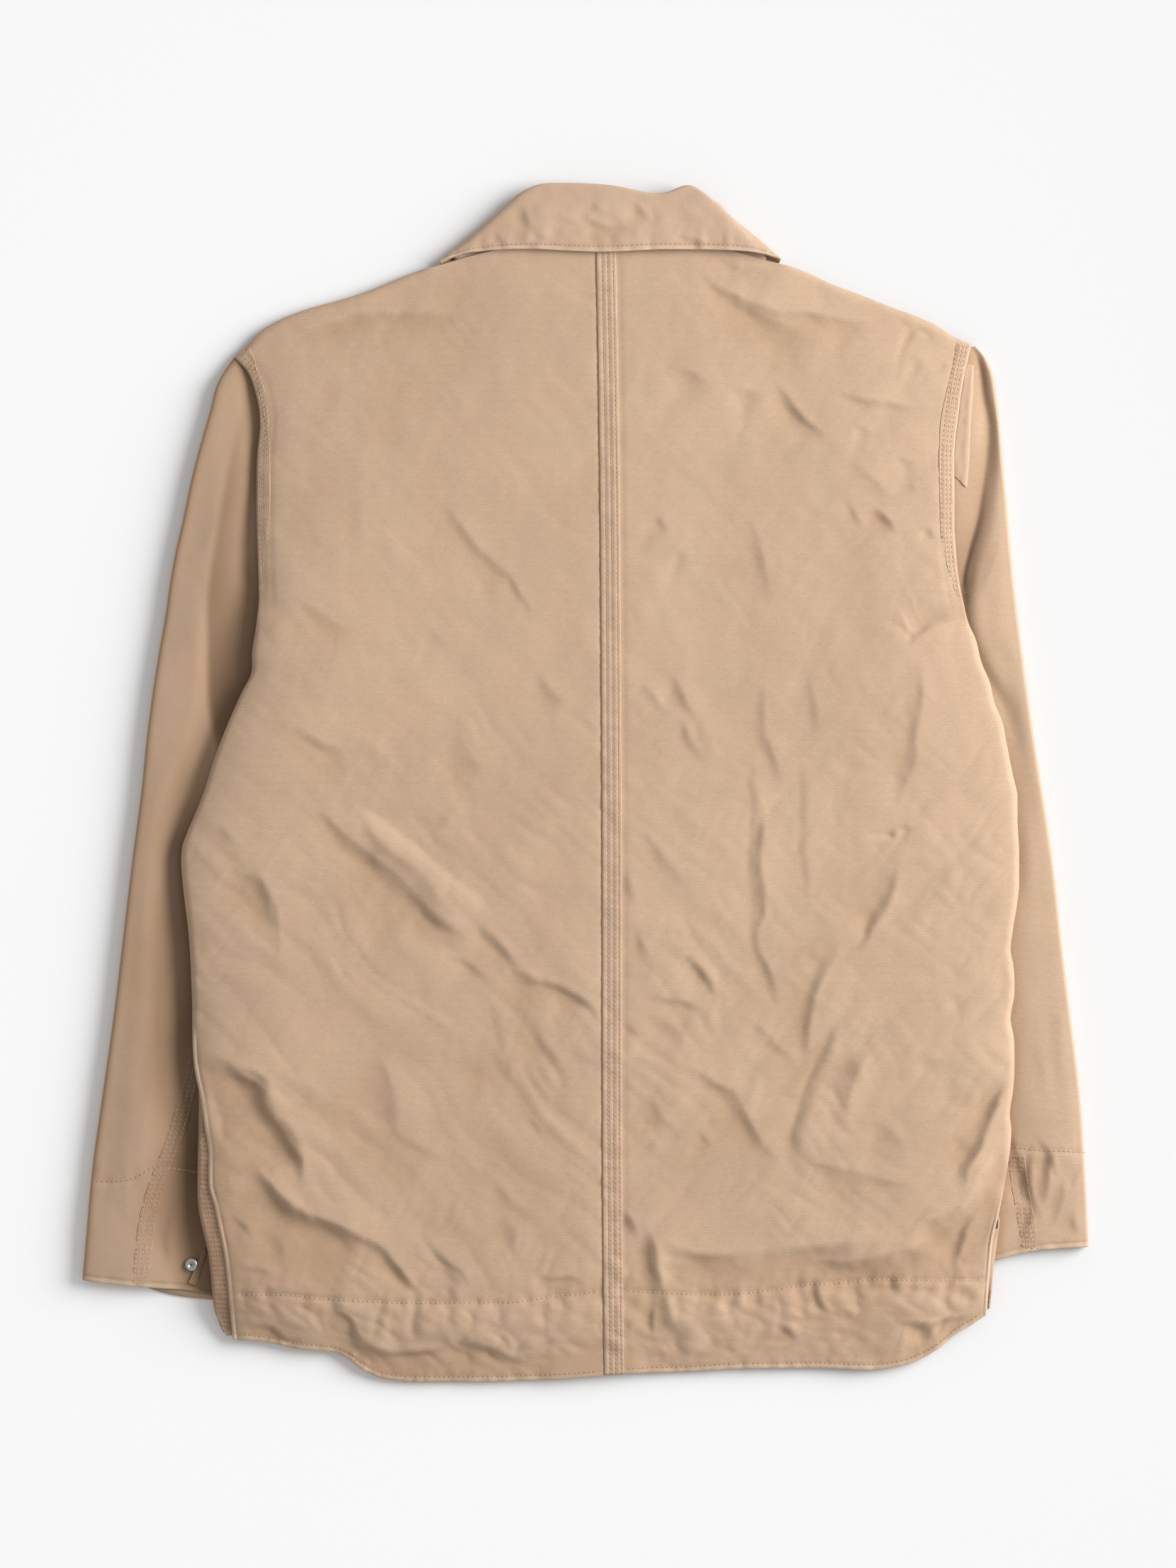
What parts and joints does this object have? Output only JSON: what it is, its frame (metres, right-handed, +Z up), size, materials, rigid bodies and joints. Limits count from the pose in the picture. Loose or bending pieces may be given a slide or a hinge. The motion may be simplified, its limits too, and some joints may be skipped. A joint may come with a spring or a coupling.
{
  "type": "chore jacket",
  "caption": "Collared cotton duck work jacket laid flat, back up, with felled seams, folded sleeves beside the body and metal buttons.",
  "frame": {"origin": "middle of the garment's bounding box, on the surface it lies on", "axes": "+X to the wearer's right, +Y towards the collar, +Z up from the surface, out of the back"},
  "size_m": [0.6552, 0.7779, 0.0163],
  "materials": {
    "duck": "tan cotton duck, matt, slubby crosswise weave",
    "duck_seam": "the same duck, folded and topstitched in rows",
    "metal": "dull grey metal"
  },
  "bodies": {
    "root": {"back_left": "duck", "back_right": "duck", "centre_back_seam": "duck_seam", "armhole_seam_left": "duck_seam", "armhole_seam_right": "duck_seam", "armhole_tab_right": "duck_seam", "side_seam_left": "duck_seam", "side_seam_right": "duck_seam", "front_left": "duck", "front_right": "duck", "pocket_left": "duck", "pocket_right": "duck", "sleeve_left_upper": "duck", "sleeve_left_under": "duck", "sleeve_right_upper": "duck", "sleeve_right_under": "duck", "sleeve_seam_left": "duck_seam", "sleeve_seam_right": "duck_seam", "cuff_vent_left": "duck_seam", "collar": "duck", "cuff_button_left": "metal", "front_button_1": "metal", "front_button_2": "metal", "front_button_3": "metal", "front_button_4": "metal", "front_button_5": "metal"}
  },
  "joints": []
}
